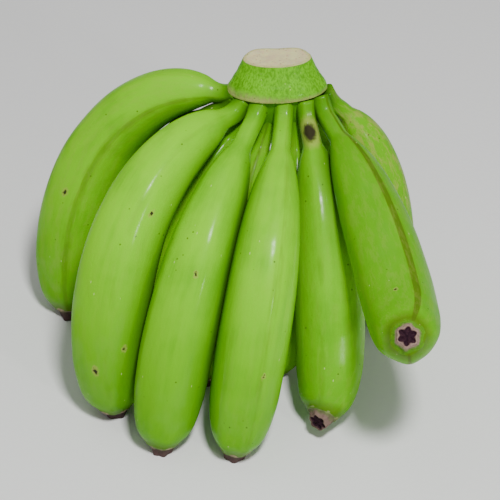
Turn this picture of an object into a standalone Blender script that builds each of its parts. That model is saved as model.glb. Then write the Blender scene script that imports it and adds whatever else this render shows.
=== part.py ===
"""A hand of green bananas: two rows of fingers grown from one cut crown, resting on its fingertips.

Metres, +Z up. The origin is on the ground under the middle of the hand, and the front row faces -Y.
"""
import math

import bmesh
import bpy
from mathutils import Matrix, Vector
from mathutils.geometry import interpolate_bezier

OBJECT_NAME = "banana_hand"
MM = 0.001

# The hand is laid out with the crown's bend above its zero, then moved so that the origin is mid-hand.
CENTRE_OFFSET = Vector((26.4, 58.33, 0.0))

# Each finger: where it leaves the crown, its two bending points, its tip, its girth radius,
# and the length of its stalk as a share of the usual one.
# Tips that carry the hand pass a little below the ground and are trimmed flat on it.
GROUND_DIP = -1.5
FRONT_ROW = (
    ((-21, 5, 125), (-66, 25, 138.5), (-118, 24, 76), (-109, -16, GROUND_DIP), 18.2, 0.25),
    ((-17.5, 1, 122), (-77, -42, 129), (-90, -84, 68), (-82, -88, GROUND_DIP), 19.2, 0.32),
    ((-10, -1, 124), (-31, -54, 118), (-54, -102, 64), (-58.5, -115, GROUND_DIP), 17.8, 1.0),
    ((2, -2, 124), (-2, -64, 116), (-14, -110, 64), (-23, -119, GROUND_DIP), 17.6, 1.0),
    ((12, -1, 124), (24, -42, 101), (31, -90, 12), (18, -109, 13), 17.2, 0.8),
    ((19, 2, 124), (45, -47, 117), (61, -112, 66), (56, -146, 104), 17.8, 1.0),
    ((22, 6, 124), (43, 10, 117), (62, 8, 60), (52, -26, GROUND_DIP), 16.0, 0.65),
)
BACK_ROW = (
    ((-22, 4, 122), (-53, 12, 117), (-76, 6, 56), (-68, -12, GROUND_DIP), 14.6, 0.9),
    ((-12.5, 2, 118), (-39, -6, 101), (-60, -34, 54), (-64, -56, GROUND_DIP), 14.2, 0.7),
    ((-4.5, 1, 117), (-14.8, -12, 95), (-27, -44, 50), (-38, -66, GROUND_DIP), 15.4, 0.62),
    ((6, 1.5, 117), (13, -10, 92), (6, -42, 50), (-3, -62, GROUND_DIP), 14.0, 0.7),
    ((15, 5, 117), (29, 2, 94), (31, -18, 46), (22, -32, GROUND_DIP), 13.0, 0.7),
)

# Thickness along a finger, as (share of its length, share of its girth): stalk, body, blossom stub.
THICKNESS = (
    (0.0, 0.28), (0.05, 0.265), (0.13, 0.28), (0.18, 0.445), (0.23, 0.60), (0.31, 0.765),
    (0.43, 0.915), (0.55, 0.98), (0.68, 1.0), (0.80, 0.97), (0.87, 0.885), (0.91, 0.79),
    (0.935, 0.67), (0.953, 0.53), (0.97, 0.42), (0.985, 0.36), (1.0, 0.29),
)
STALK_END = 0.43
# A stalk turns up into the crown over this share of its finger, by this much.
ROOT_TURN = 0.06
ROOT_LIFT = 6.0
SIDES_PER_RIDGE = 3
RIDGES = 5
RIDGE_HEIGHT = 0.035
CURVE_STEPS = 200

# The crown's crescent section is an oval bent round an upright axis behind it.
BEND_RADIUS = 35.0
CROWN_SIDES = 36
CROWN_SQUARENESS = 2.8
CROWN_FRONT_GAP = 2.5
# The crown sits a little to the left, with its right end higher.
CROWN_SHIFT = -1.7
CROWN_SLOPE = 0.035
# Each level: height, shift back, half length along the bend, half thickness, lean back in degrees,
# and how much higher its two ends are than its middle. The last one lies inside the cut face.
CROWN_LEVELS = (
    (112.0, 0.5, 15.0, 4.5, 0.0, 0.0),
    (119.0, 0.0, 20.5, 7.5, 0.0, 0.0),
    (131.6, 0.0, 22.8, 9.0, 0.0, -0.8),
    (133.2, 0.0, 24.6, 11.0, 0.0, -1.0),
    (135.2, 0.3, 24.2, 11.1, 1.0, -0.9),
    (138.0, 1.6, 22.4, 10.6, 3.0, -0.5),
    (142.0, 4.6, 19.2, 10.4, 6.0, 0.2),
    (147.0, 8.6, 16.1, 10.8, 9.0, 0.8),
    (147.0, 8.6, 8.0, 3.0, 9.0, 0.2),
)

PEEL_COLOUR = (0.16, 0.36, 0.03, 1.0)
PEEL_ROUGHNESS = 0.38


def clear_scene():
    """Start from an empty scene."""
    for item in list(bpy.data.objects):
        bpy.data.objects.remove(item, do_unlink=True)


def new_collection(name):
    """A collection under the scene's own."""
    collection = bpy.data.collections.new(name)
    bpy.context.scene.collection.children.link(collection)
    return collection


def peel_material():
    """Glossy green peel."""
    material = bpy.data.materials.new("green_peel")
    material.use_nodes = True
    shader = material.node_tree.nodes["Principled BSDF"]
    shader.inputs["Base Color"].default_value = PEEL_COLOUR
    shader.inputs["Roughness"].default_value = PEEL_ROUGHNESS
    shader.inputs["Metallic"].default_value = 0.0
    return material


def placed_share(share, stalk):
    """Where a share in THICKNESS falls on a finger whose stalk is longer or shorter than usual."""
    if share >= STALK_END:
        return share
    return share * (stalk + (1.0 - stalk) * share / STALK_END)


def centre_line(finger):
    """Points down a finger's middle, one for each row of THICKNESS, from inside the crown to the tip."""
    root, leave, arrive, tip = (Vector(point) for point in finger[:4])
    curve = interpolate_bezier(root, leave, arrive, tip, CURVE_STEPS)
    lengths = [0.0]
    for before, after in zip(curve, curve[1:]):
        lengths.append(lengths[-1] + (after - before).length)
    points = []
    step = 0
    for share, _ in THICKNESS:
        wanted = placed_share(share, finger[5]) * lengths[-1]
        while step < len(curve) - 2 and lengths[step + 1] < wanted:
            step += 1
        part = (wanted - lengths[step]) / (lengths[step + 1] - lengths[step])
        lift = ROOT_LIFT * max(1.0 - wanted / lengths[-1] / ROOT_TURN, 0.0) ** 2
        points.append(curve[step].lerp(curve[step + 1], part) + Vector((0.0, 0.0, lift)))
    return points


def stations(points):
    """A square set of axes at each point, carried along the line without twist."""
    outward = Vector((0, 0, 1))
    for number, point in enumerate(points):
        before = points[max(number - 1, 0)]
        after = points[min(number + 1, len(points) - 1)]
        along = (after - before).normalized()
        outward = (outward - along * outward.dot(along)).normalized()
        axes = Matrix((outward, along.cross(outward), along)).transposed()
        yield Matrix.Translation(point) @ axes.to_4x4()


def loft(name, rings):
    """Join rings of points, all of one count, into a closed body with flat ends."""
    bm = bmesh.new()
    corner = bm.verts.layers.int.new("corner")
    circle = bmesh.ops.create_circle(bm, cap_ends=True, radius=1.0, segments=len(rings[0]))
    corners = circle["verts"]
    for number, vertex in enumerate(corners):
        vertex[corner] = number
    rim = bm.edges[:]
    for number, ring in enumerate(rings):
        if number:
            pulled = bmesh.ops.extrude_edge_only(bm, edges=rim)["geom"]
            corners = [item for item in pulled if isinstance(item, bmesh.types.BMVert)]
            rim = [item for item in pulled if isinstance(item, bmesh.types.BMEdge)]
        for vertex in corners:
            vertex.co = ring[vertex[corner]]
    bmesh.ops.edgeloop_fill(bm, edges=rim)
    bmesh.ops.recalc_face_normals(bm, faces=bm.faces)
    mesh = bpy.data.meshes.new(name)
    bm.to_mesh(mesh)
    bm.free()
    return bpy.data.objects.new(name, mesh)


def finger_rings(finger):
    """Rounded five-sided rings down one finger, with a flat side facing outward."""
    sides = RIDGES * SIDES_PER_RIDGE
    rings = []
    for (_, thickness), station in zip(THICKNESS, stations(centre_line(finger))):
        radius = finger[4] * thickness
        ring = []
        for side in range(sides):
            angle = math.tau * side / sides
            reach = radius * (1.0 - RIDGE_HEIGHT * math.cos(RIDGES * angle))
            ring.append(station @ Vector((reach * math.cos(angle), reach * math.sin(angle), 0.0)))
        rings.append(ring)
    return rings


def rounded(value, power):
    """A cosine or sine pushed outwards, which squares off an oval."""
    return math.copysign(abs(value) ** power, value)


def crown_rings():
    """Crescent rings from the crown's underside up to its cut face."""
    rings = []
    for height, back, half_length, half_thickness, lean, rise in CROWN_LEVELS:
        tilt = math.radians(lean)
        ring = []
        for side in range(CROWN_SIDES):
            angle = math.tau * side / CROWN_SIDES
            along = half_length * rounded(math.cos(angle), 2.0 / CROWN_SQUARENESS)
            out = half_thickness * rounded(math.sin(angle), 2.0 / CROWN_SQUARENESS)
            turn = along / BEND_RADIUS
            x = (BEND_RADIUS + out) * math.sin(turn)
            y = BEND_RADIUS - (BEND_RADIUS + out) * math.cos(turn)
            y += CROWN_FRONT_GAP
            z = height + rise * (along / half_length) ** 2 + CROWN_SLOPE * x - y * math.sin(tilt)
            ring.append(Vector((x + CROWN_SHIFT, back + y * math.cos(tilt), z)))
        rings.append(ring)
    return rings


def union_of(collection, name):
    """One body from everything in a collection, which is then emptied."""
    first = collection.objects[0]
    collection.objects.unlink(first)
    bpy.context.scene.collection.objects.link(first)
    first.name = name
    modifier = first.modifiers.new("join", "BOOLEAN")
    modifier.operation = "UNION"
    modifier.operand_type = "COLLECTION"
    modifier.collection = collection
    modifier.solver = "EXACT"
    evaluated = first.evaluated_get(bpy.context.evaluated_depsgraph_get())
    joined = bpy.data.meshes.new_from_object(evaluated)
    first.modifiers.clear()
    first.data = joined
    joined.name = name
    for item in list(collection.objects):
        bpy.data.objects.remove(item, do_unlink=True)
    return first


def trim_at_ground(mesh):
    """Cut the tips off level with the ground, so that each stands on a small flat spot."""
    bm = bmesh.new()
    bm.from_mesh(mesh)
    geometry = bm.verts[:] + bm.edges[:] + bm.faces[:]
    cut = bmesh.ops.bisect_plane(bm, geom=geometry, plane_co=(0, 0, 0), plane_no=(0, 0, -1),
                                 clear_outer=True, dist=1e-7)
    rim = [item for item in cut["geom_cut"] if isinstance(item, bmesh.types.BMEdge)]
    bmesh.ops.holes_fill(bm, edges=rim, sides=0)
    bmesh.ops.recalc_face_normals(bm, faces=bm.faces)
    bm.to_mesh(mesh)
    bm.free()


def build_hand(material):
    """The whole hand, one grown body in metres."""
    parts = new_collection("grown_parts")
    parts.objects.link(loft("crown", crown_rings()))
    for number, finger in enumerate(FRONT_ROW + BACK_ROW, start=1):
        parts.objects.link(loft(f"finger_{number:02d}", finger_rings(finger)))
    hand = union_of(parts, OBJECT_NAME)
    bpy.data.collections.remove(parts)
    place = Matrix.Scale(MM, 4) @ Matrix.Translation(CENTRE_OFFSET)
    hand.data.transform(place)
    trim_at_ground(hand.data)
    hand.data.materials.clear()
    hand.data.materials.append(material)
    hand.data.shade_smooth()
    return hand


def main():
    """Build the hand in a collection of its own."""
    clear_scene()
    home = new_collection(OBJECT_NAME)
    hand = build_hand(peel_material())
    bpy.context.scene.collection.objects.unlink(hand)
    home.objects.link(hand)


main()
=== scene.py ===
"""A hand of green bananas for a studio picture, laid out as a Blender add-on and run as a script."""
import math
import random

import bmesh
import bpy
from bpy.props import FloatProperty, FloatVectorProperty, IntProperty, PointerProperty
from mathutils import Matrix, Vector, noise
from mathutils.geometry import interpolate_bezier


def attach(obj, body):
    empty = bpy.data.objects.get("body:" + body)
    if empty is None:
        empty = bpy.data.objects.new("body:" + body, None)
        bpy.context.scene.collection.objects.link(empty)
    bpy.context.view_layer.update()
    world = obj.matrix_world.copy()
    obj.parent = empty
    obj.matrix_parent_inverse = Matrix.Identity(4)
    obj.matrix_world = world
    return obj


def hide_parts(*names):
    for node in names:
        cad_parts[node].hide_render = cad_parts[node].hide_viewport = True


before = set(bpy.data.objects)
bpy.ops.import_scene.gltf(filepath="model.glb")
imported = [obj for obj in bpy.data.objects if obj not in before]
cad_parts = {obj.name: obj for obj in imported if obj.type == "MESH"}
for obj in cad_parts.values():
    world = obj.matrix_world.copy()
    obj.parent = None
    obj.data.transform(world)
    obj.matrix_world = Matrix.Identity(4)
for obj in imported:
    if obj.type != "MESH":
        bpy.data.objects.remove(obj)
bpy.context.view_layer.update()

bl_info = {
    "name": "Hand of Green Bananas",
    "version": (1, 0, 0),
    "blender": (4, 5, 0),
    "location": "View3D > Sidebar > Bananas",
    "description": "Fingers, crown, blossom ends and a studio for one hand of unripe bananas",
    "category": "Add Mesh",
}

NODE = "banana_hand"
BODY = "root"
MM = 0.001

# The hand is laid out in millimetres with the crown's bend above its zero, then moved to mid-hand.
CENTRE_OFFSET = Vector((26.4, 58.33, 0.0))

# Each finger: where it leaves the crown, its two bending points, its tip, its girth radius,
# and the length of its stalk as a share of the usual one.
GROUND_DIP = -1.5
FRONT_ROW = (
    ((-21, 5, 125), (-66, 25, 138.5), (-118, 24, 76), (-109, -16, GROUND_DIP), 18.2, 0.25),
    ((-17.5, 1, 122), (-77, -42, 129), (-90, -84, 68), (-82, -88, GROUND_DIP), 19.2, 0.32),
    ((-10, -1, 124), (-31, -54, 118), (-54, -102, 64), (-58.5, -115, GROUND_DIP), 17.8, 1.0),
    ((2, -2, 124), (-2, -64, 116), (-14, -110, 64), (-23, -119, GROUND_DIP), 17.6, 1.0),
    ((12, -1, 124), (24, -42, 101), (31, -90, 12), (18, -109, 13), 17.2, 0.8),
    ((19, 2, 124), (45, -47, 117), (61, -112, 66), (56, -146, 104), 17.8, 1.0),
    ((22, 6, 124), (43, 10, 117), (62, 8, 60), (52, -26, GROUND_DIP), 16.0, 0.65),
)
BACK_ROW = (
    ((-22, 4, 122), (-53, 12, 117), (-76, 6, 56), (-68, -12, GROUND_DIP), 14.6, 0.9),
    ((-12.5, 2, 118), (-39, -6, 101), (-60, -34, 54), (-64, -56, GROUND_DIP), 14.2, 0.7),
    ((-4.5, 1, 117), (-14.8, -12, 95), (-27, -44, 50), (-38, -66, GROUND_DIP), 15.4, 0.62),
    ((6, 1.5, 117), (13, -10, 92), (6, -42, 50), (-3, -62, GROUND_DIP), 14.0, 0.7),
    ((15, 5, 117), (29, 2, 94), (31, -18, 46), (22, -32, GROUND_DIP), 13.0, 0.7),
)

# Thickness along a finger, as (share of its length, share of its girth): stalk, body, blossom end.
THICKNESS = (
    (0.0, 0.28), (0.05, 0.265), (0.13, 0.28), (0.18, 0.445), (0.23, 0.60), (0.31, 0.765),
    (0.43, 0.915), (0.55, 0.98), (0.68, 1.0), (0.80, 0.97), (0.87, 0.885), (0.91, 0.79),
    (0.935, 0.67), (0.953, 0.53), (0.97, 0.42), (0.985, 0.36), (1.0, 0.29),
)
STALK_END = 0.43
# A stalk turns up into the crown over this share of its finger, by this much.
ROOT_TURN = 0.06
ROOT_LIFT = 6.0
CURVE_STEPS = 400
RIDGES = 5
# A ridge strays from its even place by up to this many degrees, and this is its half width in radians.
RIDGE_STRAY = 9.0
RIDGE_WIDTH = 0.30
# Where a stalk leaves the crown it is thicker by this share, which fades over this share of its length.
FLARE = 0.15
FLARE_FADE = 0.022
PEEL_END = 0.966
STUB_START = 0.955
STUB_SIDES = 60
STUB_LINE_START = PEEL_END * 0.9
STUB_LINE_STEPS = 40

# The crown's crescent section is an oval bent round an upright axis behind it.
BEND_RADIUS = 35.0
CROWN_SIDES = 180
LEVEL_STEPS = 8
CUT_STEPS = 12
CROWN_SQUARENESS = 2.8
CROWN_FRONT_GAP = 2.5
# The crown sits a little to the left, with its right end higher.
CROWN_SHIFT = -1.7
CROWN_SLOPE = 0.035
# Each level: height, shift back, half length along the bend, half thickness, lean back in degrees,
# and how much higher its two ends are than its middle.
CROWN_LEVELS = (
    (112.0, 0.5, 15.0, 4.5, 0.0, 0.0),
    (119.0, 0.0, 20.5, 7.5, 0.0, 0.0),
    (131.6, 0.0, 22.8, 9.0, 0.0, -0.8),
    (133.2, 0.0, 24.6, 11.0, 0.0, -1.0),
    (135.2, 0.3, 24.2, 11.1, 1.0, -0.9),
    (138.0, 1.6, 22.4, 10.6, 3.0, -0.5),
    (142.0, 4.6, 19.2, 10.4, 6.0, 0.2),
    (147.0, 8.6, 16.1, 10.8, 9.0, 0.8),
)

# Small marks on the peel: finger, share of its length, angle round it, radius in millimetres.
DARK_MARKS = (
    (2, 0.41, 300.0, 1.1), (2, 0.75, 297.0, 1.2), (2, 0.81, 342.0, 1.5),
    (5, 0.083, 18.0, 4.4), (3, 0.5, 340.0, 0.9), (4, 0.72, 330.0, 0.9),
    (6, 0.80, 20.0, 1.0), (7, 0.45, 320.0, 1.7), (1, 0.6, 300.0, 1.4),
    (9, 0.55, 180.0, 1.5), (10, 0.5, 160.0, 1.8), (2, 0.6, 150.0, 1.8),
)
# Marks are as wide as this share of their length.
MARK_STRETCH = 0.7
# The straightened fingers stand this far apart in metres, so that each has its own pattern.
SPREAD = 0.2
# How dark each finger's peel is and how weathered, both from 0 to 1.
DARKNESS = (0.18, 0.0, 0.0, 0.1, 0.2, 0.75, 0.6, 0.5, 0.4, 0.4, 0.4, 0.4)
WEAR = (0.2, 0.1, 0.05, 0.1, 0.15, 0.2, 0.95, 0.3, 0.3, 0.3, 0.3, 0.3)
# The fingers' ridges are drawn from this seed, and then turned by these degrees.
RIDGE_SEED = 1260
RIDGE_TURNS = (18.0, 0.0, 0.0, 0.0, 0.0, 17.0, 0.0, 0.0, 0.0, 0.0, 0.0, 0.0)
# Fingers whose blossom ends are paler than the rest.
FRESH_ENDS = {5: 0.45, 6: 0.85}
# Painted shade darkens the peel within about this many millimetres of another finger,
# which is measured from this many places along it.
SHADE_REACH = 2.2
LANE_STEPS = 48


# The camera and the lights face these places of the layout. Each light: direction, distance and size.
LOOK_AT = Vector((-15.0, -39.0, 65.0))
LIT_PLACE = Vector((-15.0, -39.0, 70.0))
LIGHTS = {
    "key": ((0.16, -0.52, 1.0), 1.3, 0.17),
    "top": ((-0.25, 0.15, 1.0), 1.2, 0.7),
    "glint": ((0.58, -0.78, 0.42), 1.3, 0.09),
}
SENSOR_WIDTH = 36.0
FLOOR_RADIUS = 6.0
FLOOR_SIDES = 96


class FingerSettings(bpy.types.PropertyGroup):
    """Sizes of the fingers' surface."""

    sides: IntProperty(name="Sides", description="Points round a finger", default=80, min=12)
    rows: IntProperty(name="Rows", description="Rings of points along a finger", default=150, min=20)
    ridge: FloatProperty(name="Ridge", description="Height of the five ridges, as a share of the girth",
                         default=0.06, min=0.0, max=0.2, subtype="FACTOR")
    wander: FloatProperty(name="Wander",
                          description="How far a side swells or sinks, as a share of the girth",
                          default=0.018, min=0.0, max=0.1, subtype="FACTOR")


class PeelSettings(bpy.types.PropertyGroup):
    """Colours of the peel, the crown and the blossom ends."""

    lime: FloatVectorProperty(name="Lime", description="Brightest peel", subtype="COLOR",
                              default=(0.26, 0.75, 0.0), min=0.0, max=1.0)
    leaf: FloatVectorProperty(name="Leaf", description="Main peel colour", subtype="COLOR",
                              default=(0.165, 0.55, 0.0), min=0.0, max=1.0)
    # Deep green is also painted as shade towards the tips and at the tops of the stalks.
    deep: FloatVectorProperty(name="Deep", description="Peel towards the tips", subtype="COLOR",
                              default=(0.075, 0.30, 0.0), min=0.0, max=1.0)
    olive: FloatVectorProperty(name="Olive", description="Dull brownish green", subtype="COLOR",
                               default=(0.075, 0.14, 0.005), min=0.0, max=1.0)
    bruise: FloatVectorProperty(name="Bruise", description="Dark marks and scars", subtype="COLOR",
                                default=(0.022, 0.011, 0.012), min=0.0, max=1.0)
    flesh: FloatVectorProperty(name="Flesh", description="Cut face of the crown", subtype="COLOR",
                               default=(0.80, 0.74, 0.36), min=0.0, max=1.0)
    tan: FloatVectorProperty(name="Tan", description="Corky and weathered peel", subtype="COLOR",
                             default=(0.40, 0.40, 0.09), min=0.0, max=1.0)
    # The seam colour is painted shade, laid in the seams between fingers and just beneath the crown's lip.
    seam: FloatVectorProperty(name="Seam", description="Peel in the seams between fingers", subtype="COLOR",
                              default=(0.022, 0.075, 0.001), min=0.0, max=1.0)
    dry: FloatVectorProperty(name="Dry", description="Pale rim of a blossom end", subtype="COLOR",
                             default=(0.44, 0.30, 0.23), min=0.0, max=1.0)


class StageSettings(bpy.types.PropertyGroup):
    """The camera and the studio."""

    elevation: FloatProperty(name="Elevation", description="Camera height above the horizon",
                             default=math.radians(40.0), subtype="ANGLE")
    distance: FloatProperty(name="Distance", description="Camera to the middle of the hand",
                            default=1.1, unit="LENGTH", min=0.3)
    view_width: FloatProperty(name="View Width", description="Width of the picture at the hand",
                              default=0.25, unit="LENGTH", min=0.05)
    key: FloatProperty(name="Key", description="Power of the main light in watts", default=17.5, min=0.0)
    top: FloatProperty(name="Top", description="Power of the overhead light in watts",
                       default=1.0, min=0.0)
    glint: FloatProperty(name="Glint", description="Power of the small low light in watts",
                         default=2.0, min=0.0)
    sky: FloatProperty(name="Sky", description="Strength of the light from all round",
                       default=0.27, min=0.0)


class Wire:
    """A socket in a material's nodes. Sums written on wires add Math nodes."""

    def __init__(self, tree, socket=None):
        self.tree = tree
        self.socket = socket

    def node(self, kind, inputs=None, output=0, **settings):
        """Add a node: its settings first, then values or wires by socket."""
        made = self.tree.nodes.new(kind)
        for name, value in settings.items():
            setattr(made, name, value)
        for name, value in (inputs or {}).items():
            socket = next(s for s in made.inputs if name in (s.identifier, s.name))
            if isinstance(value, Wire):
                self.tree.links.new(value.socket, socket)
            else:
                socket.default_value = value
        found = next(s for i, s in enumerate(made.outputs) if output in (i, s.identifier, s.name))
        return Wire(self.tree, found)

    def maths(self, operation, first, second=0.0):
        """One Math node."""
        return self.node("ShaderNodeMath", {"Value": first, "Value_001": second}, operation=operation)

    def __add__(self, other):
        return self.maths("ADD", self, other)

    def __radd__(self, other):
        return self.maths("ADD", other, self)

    def __sub__(self, other):
        return self.maths("SUBTRACT", self, other)

    def __rsub__(self, other):
        return self.maths("SUBTRACT", other, self)

    def __mul__(self, other):
        return self.maths("MULTIPLY", self, other)

    def __rmul__(self, other):
        return self.maths("MULTIPLY", other, self)

    def __pow__(self, other):
        return self.maths("POWER", self, other)

    def step(self, low, high):
        """0 below low, 1 above high, and a smooth rise between; the fall is written high, low."""
        return self.node("ShaderNodeMapRange", {"Value": self, "From Min": low, "From Max": high},
                         interpolation_type="SMOOTHSTEP")

    def mix(self, first, second):
        """Colours mixed by this wire."""
        sockets = {"Factor_Float": self, "A_Color": rgba(first), "B_Color": rgba(second)}
        return self.node("ShaderNodeMix", sockets, "Result_Color", data_type="RGBA")

    def scaled(self, x, y, z):
        """This vector stretched by three factors."""
        sockets = {"Vector": self, "Vector_001": (x, y, z)}
        return self.node("ShaderNodeVectorMath", sockets, operation="MULTIPLY")

    def noise(self, scale, detail=2.0, roughness=0.5):
        """Noise over this vector, from 0 to 1, with its scale in cells per metre."""
        sockets = {"Vector": self, "Scale": scale, "Detail": detail, "Roughness": roughness}
        return self.node("ShaderNodeTexNoise", sockets)

    def specks(self, scale, share, size):
        """Scattered round specks over this vector: cells per metre, share of cells used, size in cells."""
        sockets = {"Vector": self, "Scale": scale}
        reach = self.node("ShaderNodeTexVoronoi", sockets)
        cell = self.node("ShaderNodeTexVoronoi", sockets, "Color")
        pick = self.node("ShaderNodeSeparateColor", {"Color": cell})
        return reach.step(size, size * 0.4) * pick.step(share, share * 0.9)


def rgba(colour):
    """A colour with its alpha, or the wire that carries one."""
    if isinstance(colour, Wire):
        return colour
    return (*colour, 1.0)


def new_material(name, **constants):
    """A Principled material, with the values that are the same all over it, and a wire to grow it from."""
    material = bpy.data.materials.new(name)
    material.use_nodes = True
    shader = material.node_tree.nodes["Principled BSDF"]
    for socket, value in constants.items():
        shader.inputs[socket.replace("_", " ")].default_value = value
    return material, shader, Wire(material.node_tree)


def finish_material(wire, shader, colour, roughness, height, depth):
    """Join the varying colour, roughness and height to the shader."""
    bump = wire.node("ShaderNodeBump", {"Height": height, "Distance": depth, "Strength": 1.0})
    wire.tree.links.new(colour.socket, shader.inputs["Base Color"])
    wire.tree.links.new(roughness.socket, shader.inputs["Roughness"])
    wire.tree.links.new(bump.socket, shader.inputs["Normal"])


def mark_place(mark):
    """Where a mark lies on its finger as if that finger were straight, drawn in lengthwise."""
    number, share, degrees, _ = mark
    finger = (FRONT_ROW + BACK_ROW)[number - 1]
    radius = finger[4] * thickness_at(share, finger[5])
    angle = math.radians(degrees)
    place = straight_point(number, radius * math.cos(angle), radius * math.sin(angle), share)
    return Vector((place.x, place.y, place.z * MARK_STRETCH))


def straight_point(number, x, y, share):
    """A point of a finger as if it were straight and stood in a row with the others."""
    length = centre_line(number)[1]
    return Vector((x * MM + number * SPREAD, y * MM, share * length * MM))


def peel_material(peel):
    """Waxy green peel with lengthwise fibres, mottling, scuffed ridges, specks and scars, with painted
    shade in the seams between fingers, towards the tips and at the tops of the stalks.
    """
    material, shader, wire = new_material("waxy_peel", Coat_Roughness=0.16, Specular_IOR_Level=0.04)
    straight = wire.node("ShaderNodeAttribute", output="Vector", attribute_name="straight")
    share = wire.node("ShaderNodeAttribute", output="Fac", attribute_name="share")
    ridge = wire.node("ShaderNodeAttribute", output="Fac", attribute_name="ridge")
    darkness = wire.node("ShaderNodeAttribute", output="Fac", attribute_name="darkness")
    wear = wire.node("ShaderNodeAttribute", output="Fac", attribute_name="wear")
    near = wire.node("ShaderNodeAttribute", output="Fac", attribute_name="near")
    fibres = straight.scaled(1.0, 1.0, 0.04).noise(1100.0, 3.0, 0.6)
    bands = straight.scaled(1.0, 1.0, 0.12).noise(170.0, 2.0)
    clouds = straight.noise(40.0, 3.0, 0.55)
    lumps = straight.scaled(1.0, 1.0, 0.45).noise(210.0, 2.0)
    grain = straight.noise(1300.0, 2.0)
    tone = clouds * 0.65 + bands * 0.35
    colour = tone.step(0.32, 0.60).mix(peel.leaf, peel.lime)
    colour = (fibres.step(0.45, 0.72) * 0.35).mix(colour, peel.lime)
    # Painted shade: the peel is darkened towards the tips, where it turns away from the light above, and at
    # the tops of the stalks under the crown; the finger's own darkness is its tint.
    tint_and_shade = wire.maths("MAXIMUM", darkness, share.step(0.35, 0.95) * 0.7)
    colour = (tint_and_shade * (0.75 + clouds * 0.5)).mix(colour, peel.deep)
    colour = (share.step(0.10, 0.0) * 0.35).mix(colour, peel.deep)
    crest = ridge.step(1.02, 1.12)
    scuffs = ridge.step(0.80, 1.0) * straight.scaled(1.0, 1.0, 0.25).noise(240.0, 3.0).step(0.40, 0.60)
    colour = (crest * (0.2 + darkness * 0.85)).mix(colour, peel.olive)
    colour = (scuffs * (0.15 + wear * 0.5)).mix(colour, peel.olive)
    weather = straight.scaled(1.0, 1.0, 0.3).noise(330.0, 4.0, 0.7).step(0.44, 0.62) * wear
    colour = (weather * 0.65).mix(colour, peel.tan)
    colour = (share.step(0.925, 0.962) * 0.75).mix(colour, peel.olive)
    # Painted shade: the sides near another finger are darkened, and the seams between fingers darker still.
    colour = (near ** 0.28 * 0.85).mix(colour, (0.055, 0.235, 0.0))
    colour = (near * 0.9).mix(colour, peel.seam)
    dots = straight.specks(260.0, 0.14, 0.15)
    colour = (dots * 0.7).mix(colour, peel.bruise)
    flecks = straight.scaled(1.0, 1.0, 0.5).specks(330.0, 0.14, 0.14)
    colour = (flecks * 0.45).mix(colour, (0.75, 0.82, 0.30))
    ragged = straight.noise(700.0, 3.0) * 0.0024 - 0.0012
    long = straight.scaled(1.0, 1.0, MARK_STRETCH)
    closest = None
    for mark in DARK_MARKS:
        away = wire.node("ShaderNodeVectorMath", {"Vector": long, "Vector_001": mark_place(mark)},
                         "Value", operation="DISTANCE")
        reach = (away + ragged) * (1.0 / (mark[3] * MM))
        closest = reach if closest is None else wire.maths("MINIMUM", closest, reach)
    halo = closest.step(1.7, 0.95)
    core = closest.step(1.05, 0.45)
    colour = (halo * 0.55).mix(colour, peel.tan)
    colour = (core * 0.95).mix(colour, peel.bruise)
    roughness = 0.42 + (grain - 0.5) * 0.10 + core * 0.3 + scuffs * 0.12 + near * 0.25
    height = fibres * 0.35 + grain * 0.2 + bands * 0.4 + lumps * 1.1 - core * 0.5
    finish_material(wire, shader, colour, roughness, height, 0.00022)
    patches = straight.noise(75.0, 3.0, 0.6).step(0.38, 0.62)
    coat = 0.24 * (1.0 - near) * (1.0 - core) * (0.12 + patches * 0.88)
    wire.tree.links.new(coat.socket, shader.inputs["Coat Weight"])
    return material


def crown_material(peel):
    """The crown's collar: green with fine upright fibres, corky towards the lip, deep green below it, and
    with a painted shadow just beneath the lip.
    """
    material, shader, wire = new_material("crown_peel", Coat_Weight=0.22, Coat_Roughness=0.2,
                                          Specular_IOR_Level=0.08)
    place = wire.node("ShaderNodeTexCoord", output="Object")
    across = wire.node("ShaderNodeSeparateXYZ", {"Vector": place}, "X")
    share = wire.node("ShaderNodeAttribute", output="Fac", attribute_name="share")
    fibres = place.scaled(1.0, 1.0, 0.09).noise(1100.0, 2.0, 0.5)
    clouds = place.noise(110.0, 2.0)
    colour = clouds.step(0.20, 0.95).mix(peel.deep, peel.leaf)
    colour = (fibres.step(0.42, 0.68) * 0.3).mix(colour, peel.lime)
    colour = (fibres.step(0.5, 0.3) * 0.5).mix(colour, (0.06, 0.20, 0.002))
    top = share - across.step(0.045, 0.005) * 0.12
    cork = (top + fibres * 0.12).step(0.66, 0.46) * clouds.step(0.25, 0.50)
    colour = (cork * 0.8).mix(colour, (0.46, 0.42, 0.15))
    pits = place.specks(520.0, 0.45, 0.26)
    colour = (pits * cork * 0.7).mix(colour, peel.bruise)
    specks = place.specks(420.0, 0.25, 0.2)
    colour = (specks * 0.45).mix(colour, (0.6, 0.66, 0.22))
    # Below the lip the collar turns deep green, and just beneath the lip a painted shadow of the lip is
    # laid in the seam colour.
    colour = share.step(0.425, 0.40).mix(colour, peel.deep)
    colour = (share.step(0.430, 0.405) * share.step(0.27, 0.38)).mix(colour, peel.seam)
    colour = (share.step(0.985, 1.0) * 0.6).mix(colour, peel.olive)
    finish_material(wire, shader, colour, 0.42 + fibres * 0.12, fibres * 0.6 + clouds * 0.4, 0.0004)
    return material


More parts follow.
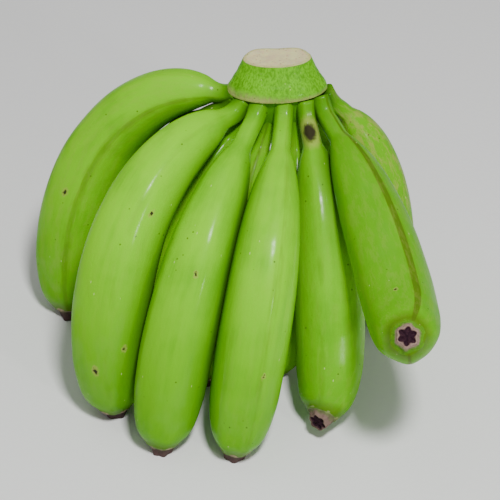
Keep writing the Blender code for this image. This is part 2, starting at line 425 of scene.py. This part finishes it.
def flesh_material(peel):
    """The crown's cut face: moist ivory with pinkish-brown fibre ends."""
    material, shader, wire = new_material("cut_flesh", Subsurface_Weight=0.15, Subsurface_Scale=0.004,
                                          Specular_IOR_Level=0.2)
    place = wire.node("ShaderNodeTexCoord", output="Object")
    rim = wire.node("ShaderNodeAttribute", output="Fac", attribute_name="share")
    clouds = place.noise(220.0, 4.0, 0.6)
    ends = place.specks(620.0, 0.45, 0.30)
    colour = clouds.step(0.35, 0.7).mix(peel.flesh, (0.70, 0.58, 0.34))
    colour = (ends * 0.65).mix(colour, (0.40, 0.22, 0.13))
    colour = (rim.step(0.16, 0.0) * 0.7).mix(colour, (0.36, 0.42, 0.10))
    finish_material(wire, shader, colour, 0.45 + clouds * 0.2, clouds * 0.6 - ends * 0.4, 0.0004)
    return material


def stub_material(peel):
    """A dried blossom end: tan rim, purple-black towards its star-shaped end."""
    material, shader, wire = new_material("dry_blossom_end", Specular_IOR_Level=0.12)
    straight = wire.node("ShaderNodeAttribute", output="Vector", attribute_name="straight")
    share = wire.node("ShaderNodeAttribute", output="Fac", attribute_name="share")
    fresh = wire.node("ShaderNodeAttribute", output="Fac", attribute_name="ridge")
    wrinkles = straight.scaled(1.0, 1.0, 0.35).noise(900.0, 4.0, 0.65)
    clouds = straight.noise(420.0, 3.0)
    edge = share + (clouds - 0.5) * 0.4
    rim = wire.maths("MAXIMUM", edge.step(0.50, 0.15), fresh)
    pale = edge.step(0.38, 0.66).mix((0.11, 0.34, 0.004), peel.dry)
    pale = (fresh * 1.2).mix(peel.dry, pale)
    colour = rim.mix((0.022, 0.006, 0.014), pale)
    colour = (wrinkles.step(0.45, 0.7) * 0.45).mix(colour, (0.085, 0.035, 0.040))
    finish_material(wire, shader, colour, 0.62 + clouds * 0.2, wrinkles, 0.0006)
    return material


def floor_material():
    """Matt white paper with the faintest tooth."""
    material, shader, wire = new_material("paper")
    place = wire.node("ShaderNodeTexCoord", output="Object")
    tooth = place.noise(400.0, 2.0)
    colour = tooth.mix((0.87, 0.87, 0.86), (0.90, 0.90, 0.89))
    finish_material(wire, shader, colour, 0.85 + tooth * 0.1, tooth, 0.0001)
    return material


def material_named(name, maker, *details):
    """A material that is made once."""
    return bpy.data.materials.get(name) or maker(*details)


def smooth_row(table, place):
    """A row of values between a table's rows, which rises and falls only where the table does."""
    keys = [row[0] for row in table]
    place = min(max(place, keys[0]), keys[-1])
    index = max(i for i in range(len(keys) - 1) if keys[i] <= place)
    gap = keys[index + 1] - keys[index]
    part = (place - keys[index]) / gap
    values = []
    for column in range(1, len(table[0])):
        low, high = table[index][column], table[index + 1][column]
        start, end = slope(table, index, column) * gap, slope(table, index + 1, column) * gap
        values.append(low * (1 + 2 * part) * (1 - part) ** 2 + high * part ** 2 * (3 - 2 * part)
                      + start * part * (1 - part) ** 2 + end * part ** 2 * (part - 1))
    return values


def slope(table, index, column):
    """The slope at a row of a table: none at an end, a peak or a dip, else a mean of its two sides."""
    if index in (0, len(table) - 1):
        return 0.0
    before = (table[index][column] - table[index - 1][column]) / (table[index][0] - table[index - 1][0])
    after = (table[index + 1][column] - table[index][column]) / (table[index + 1][0] - table[index][0])
    if before * after <= 0.0:
        return 0.0
    return 2.0 * before * after / (before + after)


def thickness_at(share, stalk):
    """Share of the girth at a share of the length, on a finger with that stalk."""
    if share < STALK_END and stalk < 1.0:
        bend = (1.0 - stalk) / STALK_END
        share = (math.sqrt(stalk * stalk + 4.0 * bend * share) - stalk) / (2.0 * bend)
    return smooth_row(THICKNESS, share)[0]


LINES = {}
LANES = []


def centre_line(number):
    """Points down a finger's middle, its length, and how far along each point lies, in millimetres."""
    if number not in LINES:
        root, leave, arrive, tip = (Vector(point) for point in (FRONT_ROW + BACK_ROW)[number - 1][:4])
        curve = interpolate_bezier(root, leave, arrive, tip, CURVE_STEPS)
        lengths = [0.0]
        for before, after in zip(curve, curve[1:]):
            lengths.append(lengths[-1] + (after - before).length)
        LINES[number] = (curve, lengths[-1], lengths)
    return LINES[number]


def point_at(number, share):
    """The point at a share of a finger's length."""
    curve, length, lengths = centre_line(number)
    wanted = share * length
    low, high = 0, len(lengths) - 2
    while low < high:
        step = (low + high + 1) // 2
        if lengths[step] <= wanted:
            low = step
        else:
            high = step - 1
    part = (wanted - lengths[low]) / (lengths[low + 1] - lengths[low])
    lift = ROOT_LIFT * max(1.0 - share / ROOT_TURN, 0.0) ** 2
    return curve[low].lerp(curve[low + 1], part) + Vector((0.0, 0.0, lift))


def stations(points):
    """A square set of axes at each point, carried along the line without twist."""
    outward = Vector((0, 0, 1))
    for number, point in enumerate(points):
        before = points[max(number - 1, 0)]
        after = points[min(number + 1, len(points) - 1)]
        along = (after - before).normalized()
        outward = (outward - along * outward.dot(along)).normalized()
        axes = Matrix((outward, along.cross(outward), along)).transposed()
        yield Matrix.Translation(point) @ axes.to_4x4()


def ridge_plan(number):
    """The angles and strengths of a finger's five ridges."""
    draw = random.Random(RIDGE_SEED + number)
    plan = []
    for ridge in range(RIDGES):
        turn = draw.uniform(-RIDGE_STRAY, RIDGE_STRAY) + RIDGE_TURNS[number - 1]
        angle = math.tau * (ridge + 0.5) / RIDGES + math.radians(turn)
        plan.append((angle, draw.uniform(0.7, 1.25)))
    return plan


def ridge_at(plan, angle):
    """How far up a ridge an angle lies, from 0 in a hollow to about 1 on a crest."""
    total = 0.0
    for place, strength in plan:
        away = abs((angle - place + math.pi) % math.tau - math.pi)
        total += strength * math.exp(-(away / RIDGE_WIDTH) ** 2)
    return total


def swept_tube(name, sides, rows, number=0):
    """A closed tube. Each row gives its axes, straight place, share, and a function of the angle that
    returns the reach in millimetres and the ridge value. A first and last row of no reach close it.
    A finger's number adds how dark and weathered it is, and how near each point is to other fingers."""
    bm = bmesh.new()
    straight = bm.verts.layers.float_vector.new("straight")
    share_layer = bm.verts.layers.float.new("share")
    ridge_layer = bm.verts.layers.float.new("ridge")
    dark_layer = bm.verts.layers.float.new("darkness")
    wear_layer = bm.verts.layers.float.new("wear")
    near_layer = bm.verts.layers.float.new("near")
    crowds = [crowd(number, row[0].translation) if number else () for row in rows]
    bmesh.ops.create_grid(bm, x_segments=sides, y_segments=len(rows) - 1, size=1.0)
    for vertex in bm.verts:
        angle = (vertex.co.x + 1.0) * math.pi
        row = round((vertex.co.y + 1.0) / 2.0 * (len(rows) - 1))
        axes, middle, share, section = rows[row]
        reach, ridge, lift = section(angle)
        across = Vector((reach * math.cos(angle), reach * math.sin(angle), lift))
        vertex.co = (axes @ across + CENTRE_OFFSET) * MM
        vertex[straight] = middle + across * MM
        vertex[share_layer] = share
        vertex[ridge_layer] = ridge
        if number:
            vertex[dark_layer] = DARKNESS[number - 1]
            vertex[wear_layer] = WEAR[number - 1]
            vertex[near_layer] = nearness(axes @ across, crowds[row])
    bmesh.ops.remove_doubles(bm, verts=bm.verts, dist=1e-6)
    bmesh.ops.recalc_face_normals(bm, faces=bm.faces)
    trim_at_ground(bm)
    return finished(name, bm)


def crowd(number, place):
    """Places along the other fingers that come near to a place, each with its radius in millimetres."""
    if not LANES:
        for other, finger in enumerate(FRONT_ROW + BACK_ROW, start=1):
            for step in range(LANE_STEPS + 1):
                share = PEEL_END * step / LANE_STEPS
                LANES.append((other, point_at(other, share), finger[4] * thickness_at(share, finger[5])))
    reach = (FRONT_ROW + BACK_ROW)[number - 1][4] * 1.1 + 6.0 * SHADE_REACH
    return [(middle, radius) for other, middle, radius in LANES
            if other != number and (middle - place).length < reach + radius]


def nearness(point, others):
    """1 where a point touches another finger, falling to 0 a few millimetres away."""
    gap = min(((middle - point).length - radius for middle, radius in others), default=100.0)
    return math.exp(-(max(gap, 0.0) / SHADE_REACH))


def trim_at_ground(bm):
    """Cut a tip off level with the floor."""
    geometry = bm.verts[:] + bm.edges[:] + bm.faces[:]
    cut = bmesh.ops.bisect_plane(bm, geom=geometry, plane_co=(0, 0, 0), plane_no=(0, 0, -1),
                                 clear_outer=True, dist=1e-7)
    rim = [item for item in cut["geom_cut"] if isinstance(item, bmesh.types.BMEdge)]
    if rim:
        bmesh.ops.holes_fill(bm, edges=rim, sides=0)


def finished(name, bm):
    """An object with smooth faces from a finished mesh."""
    mesh = bpy.data.meshes.new(name)
    bm.to_mesh(mesh)
    bm.free()
    mesh.shade_smooth()
    piece = bpy.data.objects.new(name, mesh)
    bpy.context.scene.collection.objects.link(piece)
    return piece


def dress(piece, material):
    """Give a piece its material and its place in the frame."""
    piece.data.materials.append(material)
    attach(piece, BODY)
    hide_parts(NODE)


def finger_section(number, share, settings):
    """The reach of a finger's skin round one ring."""
    finger = (FRONT_ROW + BACK_ROW)[number - 1]
    plan = ridge_plan(number)
    radius = finger[4] * thickness_at(share, finger[5])
    ends = abs(2.0 * share - 1.0)
    height = settings.ridge * (0.75 + 0.6 * ends ** 3)
    flare = 1.0 + FLARE * math.exp(-share / FLARE_FADE)

    def section(angle):
        ridge = ridge_at(plan, angle)
        spot = Vector((math.cos(angle), math.sin(angle), share * 7.0)) * 0.9
        spot += Vector((number * 5.0, 0, 0))
        swell = settings.wander * noise.noise(spot)
        return radius * flare * (1.0 + height * (ridge - 0.55) + swell), ridge, 0.0

    return section


def finger_rows(number, settings):
    """The rows of one finger's tube, from inside the crown to the start of the blossom end."""
    shares = [PEEL_END * row / (settings.rows - 1) for row in range(settings.rows)]
    points = [point_at(number, share) for share in shares]
    rows = []
    for share, axes in zip(shares, stations(points)):
        middle = straight_point(number, 0.0, 0.0, share)
        rows.append((axes, middle, share, finger_section(number, share, settings)))
    closing = (lambda angle: (0.0, 0.0, 0.0))
    rows.insert(0, rows[0][:3] + (closing,))
    rows.append(rows[-1][:3] + (closing,))
    return rows


def stub_rows(number):
    """The rows of one blossom end, which ends in a sunken star."""
    finger = (FRONT_ROW + BACK_ROW)[number - 1]
    draw = random.Random(100 + number)
    lobes = draw.choice((5, 6))
    turn = draw.uniform(0.0, math.tau)
    fresh = FRESH_ENDS.get(number, draw.uniform(0.0, 0.25))
    # Each row: share of the length, factor on the peel's thickness, drop in millimetres,
    # and depth of the lobes.
    plan = (
        (STUB_START, 0.0, 0.0, 0.0), (STUB_START, 0.92, 0.0, 0.0), (0.960, 0.96, 0.0, 0.01),
        (0.964, 0.98, 0.0, 0.02), (0.968, 0.94, 0.0, 0.03), (0.972, 0.88, 0.0, 0.05),
        (0.978, 0.85, 0.0, 0.06), (0.985, 0.84, 0.0, 0.07), (0.992, 0.87, 0.0, 0.08),
        (0.997, 0.92, 0.0, 0.09), (1.0, 0.88, 0.0, 0.10), (1.0, 0.72, -0.7, 0.18),
        (1.0, 0.52, -1.3, 0.30), (1.0, 0.28, -0.9, 0.30), (1.0, 0.0, -0.6, 0.0),
    )
    rows = []
    for (share, factor, drop, lobe), axes in zip(plan, stub_axes(number, [row[0] for row in plan])):
        radius = finger[4] * thickness_at(share, finger[5]) * factor
        stage = (share - STUB_START) / (1.0 - STUB_START)
        paleness = fresh if drop == 0.0 else 0.0

        def section(angle, radius=radius, drop=drop, lobe=lobe, paleness=paleness):
            wave = math.cos(lobes * (angle + turn))
            spot = Vector((math.cos(angle) * 2.0, math.sin(angle) * 2.0, number * 3.0 + radius))
            rough = noise.noise(spot)
            return radius * (1.0 + lobe * wave + 0.05 * rough), paleness, drop * (1.0 + 0.3 * wave)

        rows.append((axes, straight_point(number, 0.0, 0.0, share), stage, section))
    return rows


def stub_axes(number, shares):
    """Axes at each share of a blossom end, in line with the finger's end."""
    span = 1.0 - STUB_LINE_START
    line = [point_at(number, STUB_LINE_START + span * step / STUB_LINE_STEPS)
            for step in range(STUB_LINE_STEPS + 1)]
    found = list(stations(line))
    for share in shares:
        place = (share - STUB_LINE_START) / span * STUB_LINE_STEPS
        axes = found[min(round(place), STUB_LINE_STEPS)].copy()
        axes.translation = point_at(number, share)
        yield axes


def add_finger(context, number):
    """One finger and its blossom end."""
    scene = context.scene
    tube = swept_tube(f"finger_{number:02d}", scene.banana_fingers.sides,
                      finger_rows(number, scene.banana_fingers), number)
    dress(tube, material_named("waxy_peel", peel_material, scene.banana_peel))
    stub = swept_tube(f"blossom_end_{number:02d}", STUB_SIDES, stub_rows(number))
    dress(stub, material_named("dry_blossom_end", stub_material, scene.banana_peel))


def rounded(value, power):
    """A cosine or sine pushed outwards, which squares off an oval."""
    return math.copysign(abs(value) ** power, value)


def crown_point(level, angle, shrink=1.0, lift=0.0):
    """A point of the crown's crescent at a level, or inside it where shrink is under 1."""
    height, back, half_length, half_thickness, lean, rise = level
    tilt = math.radians(lean)
    spine = half_length - half_thickness
    along = (spine + half_thickness * shrink) * rounded(math.cos(angle), 2.0 / CROWN_SQUARENESS)
    out = half_thickness * shrink * rounded(math.sin(angle), 2.0 / CROWN_SQUARENESS)
    turn = along / BEND_RADIUS
    x = (BEND_RADIUS + out) * math.sin(turn)
    y = BEND_RADIUS - (BEND_RADIUS + out) * math.cos(turn) + CROWN_FRONT_GAP
    height += rise * (along / half_length) ** 2 + CROWN_SLOPE * x
    return Vector((x + CROWN_SHIFT, back + y * math.cos(tilt) + lift * math.sin(tilt),
                   height - y * math.sin(tilt) + lift * math.cos(tilt)))


def crown_shell(name, sides, rows):
    """A closed crown surface from rows of (level, shrink, lift, share, waver)."""
    bm = bmesh.new()
    share_layer = bm.verts.layers.float.new("share")
    bmesh.ops.create_grid(bm, x_segments=sides, y_segments=len(rows) - 1, size=1.0)
    for vertex in bm.verts:
        angle = (vertex.co.x + 1.0) * math.pi
        level, shrink, lift, share, waver = rows[round((vertex.co.y + 1.0) / 2.0 * (len(rows) - 1))]
        point = crown_point(level, angle, shrink, lift)
        rough = waver * (noise.noise(point * 0.35) + 0.5 * noise.noise(point * 1.1))
        point = crown_point(level, angle, shrink * (1.0 + rough), lift + 6.0 * rough)
        vertex.co = (point + CENTRE_OFFSET) * MM
        vertex[share_layer] = share
    bmesh.ops.remove_doubles(bm, verts=bm.verts, dist=1e-6)
    bmesh.ops.recalc_face_normals(bm, faces=bm.faces)
    return finished(name, bm)


def collar_rows():
    """Rows of the crown's collar, closed beneath and under the cut face."""
    indexed = [(float(number), *level) for number, level in enumerate(CROWN_LEVELS)]
    steps = LEVEL_STEPS * (len(CROWN_LEVELS) - 1)
    rows = []
    for step in range(steps + 1):
        level = smooth_row(indexed, step / LEVEL_STEPS)
        rows.append((level, 1.0, 0.0, step / steps, 0.012))
    for shrink in (0.6, 0.0):
        rows.insert(0, (CROWN_LEVELS[0], shrink, 0.0, 0.0, 0.0))
        rows.append((CROWN_LEVELS[-1], shrink, -0.3, 1.0, 0.0))
    return rows


def cut_rows():
    """Rows of the cut face: a thin slice with a crisp edge and a slightly uneven top."""
    top = CROWN_LEVELS[-1]
    rows = [(top, 0.0, -1.0, 1.0, 0.0), (top, 0.90, -1.0, 1.0, 0.0), (top, 0.985, -0.2, 0.0, 0.002),
            (top, 0.985, 0.15, 0.0, 0.003), (top, 0.955, 0.35, 0.05, 0.006)]
    for step in range(1, CUT_STEPS + 1):
        share = step / CUT_STEPS
        lift = 0.35 - 0.35 * math.sin(share * math.pi * 0.5)
        rows.append((top, 0.955 * (1.0 - share), lift, share, 0.02))
    return rows


class BANANA_OT_front_row(bpy.types.Operator):
    """Add the seven fingers of the front row"""

    bl_idname = "banana.front_row"
    bl_label = "Front Row"

    def execute(self, context):
        for number in range(1, len(FRONT_ROW) + 1):
            add_finger(context, number)
        return {"FINISHED"}


class BANANA_OT_back_row(bpy.types.Operator):
    """Add the five fingers of the back row"""

    bl_idname = "banana.back_row"
    bl_label = "Back Row"

    def execute(self, context):
        for number in range(len(FRONT_ROW) + 1, len(FRONT_ROW + BACK_ROW) + 1):
            add_finger(context, number)
        return {"FINISHED"}


class BANANA_OT_crown(bpy.types.Operator):
    """Add the crown's collar and its cut face"""

    bl_idname = "banana.crown"
    bl_label = "Crown"

    def execute(self, context):
        peel = context.scene.banana_peel
        collar = crown_shell("crown_collar", CROWN_SIDES, collar_rows())
        dress(collar, material_named("crown_peel", crown_material, peel))
        cut = crown_shell("crown_cut_face", CROWN_SIDES, cut_rows())
        dress(cut, material_named("cut_flesh", flesh_material, peel))
        return {"FINISHED"}


class BANANA_OT_studio(bpy.types.Operator):
    """Add the floor, the lights and the camera"""

    bl_idname = "banana.studio"
    bl_label = "Studio"

    def execute(self, context):
        settings = context.scene.banana_stage
        add_floor()
        add_camera(settings)
        middle = (LIT_PLACE + CENTRE_OFFSET) * MM
        for name, (direction, distance, size) in LIGHTS.items():
            add_light(name, middle, direction, distance, size, getattr(settings, name))
        world = context.scene.world or bpy.data.worlds.new("studio")
        context.scene.world = world
        world.use_nodes = True
        sky = world.node_tree.nodes["Background"]
        sky.inputs["Color"].default_value = (1.0, 1.0, 1.0, 1.0)
        sky.inputs["Strength"].default_value = settings.sky
        return {"FINISHED"}


def add_floor():
    """A wide plain floor under the hand."""
    bm = bmesh.new()
    bmesh.ops.create_circle(bm, cap_ends=True, radius=FLOOR_RADIUS, segments=FLOOR_SIDES)
    floor = finished("floor", bm)
    floor.data.materials.append(floor_material())


def add_camera(settings):
    """The camera, looking down at the hand as the photograph does."""
    data = bpy.data.cameras.new("camera")
    data.sensor_width = SENSOR_WIDTH
    data.lens = SENSOR_WIDTH * settings.distance / settings.view_width
    camera = bpy.data.objects.new("camera", data)
    bpy.context.scene.collection.objects.link(camera)
    back = Vector((0.0, -math.cos(settings.elevation), math.sin(settings.elevation)))
    target = (LOOK_AT + CENTRE_OFFSET) * MM
    camera.location = target + back * settings.distance
    camera.rotation_euler = back.to_track_quat("Z", "Y").to_euler()
    bpy.context.scene.camera = camera


def add_light(name, target, direction, distance, size, power):
    """A square soft light that faces the hand."""
    data = bpy.data.lights.new(name, "AREA")
    data.size = size
    data.energy = power
    light = bpy.data.objects.new(name, data)
    bpy.context.scene.collection.objects.link(light)
    direction = Vector(direction).normalized()
    light.location = target + direction * distance
    light.rotation_euler = direction.to_track_quat("Z", "Y").to_euler()


OPERATORS = (BANANA_OT_front_row, BANANA_OT_back_row, BANANA_OT_crown, BANANA_OT_studio)
GROUPS = {"banana_fingers": FingerSettings, "banana_peel": PeelSettings, "banana_stage": StageSettings}


class BANANA_PT_panel(bpy.types.Panel):
    """Buttons and settings for the hand of bananas"""

    bl_idname = "BANANA_PT_panel"
    bl_label = "Hand of Bananas"
    bl_space_type = "VIEW_3D"
    bl_region_type = "UI"
    bl_category = "Bananas"

    def draw(self, context):
        for name, group in GROUPS.items():
            box = self.layout.box()
            for setting in group.__annotations__:
                box.prop(getattr(context.scene, name), setting)
        for operator in OPERATORS:
            self.layout.operator(operator.bl_idname)


def register():
    """Register the settings, the operators and the panel."""
    for group in GROUPS.values():
        bpy.utils.register_class(group)
    for name, group in GROUPS.items():
        setattr(bpy.types.Scene, name, PointerProperty(type=group))
    for item in (*OPERATORS, BANANA_PT_panel):
        bpy.utils.register_class(item)


def unregister():
    """Take the panel, the operators and the settings away again."""
    for item in (BANANA_PT_panel, *reversed(OPERATORS)):
        bpy.utils.unregister_class(item)
    for name in GROUPS:
        delattr(bpy.types.Scene, name)
    for group in reversed(list(GROUPS.values())):
        bpy.utils.unregister_class(group)


def main():
    """Build the hand and its studio."""
    register()
    bpy.ops.banana.front_row()
    bpy.ops.banana.back_row()
    bpy.ops.banana.crown()
    bpy.ops.banana.studio()


if __name__ == "__main__":
    main()
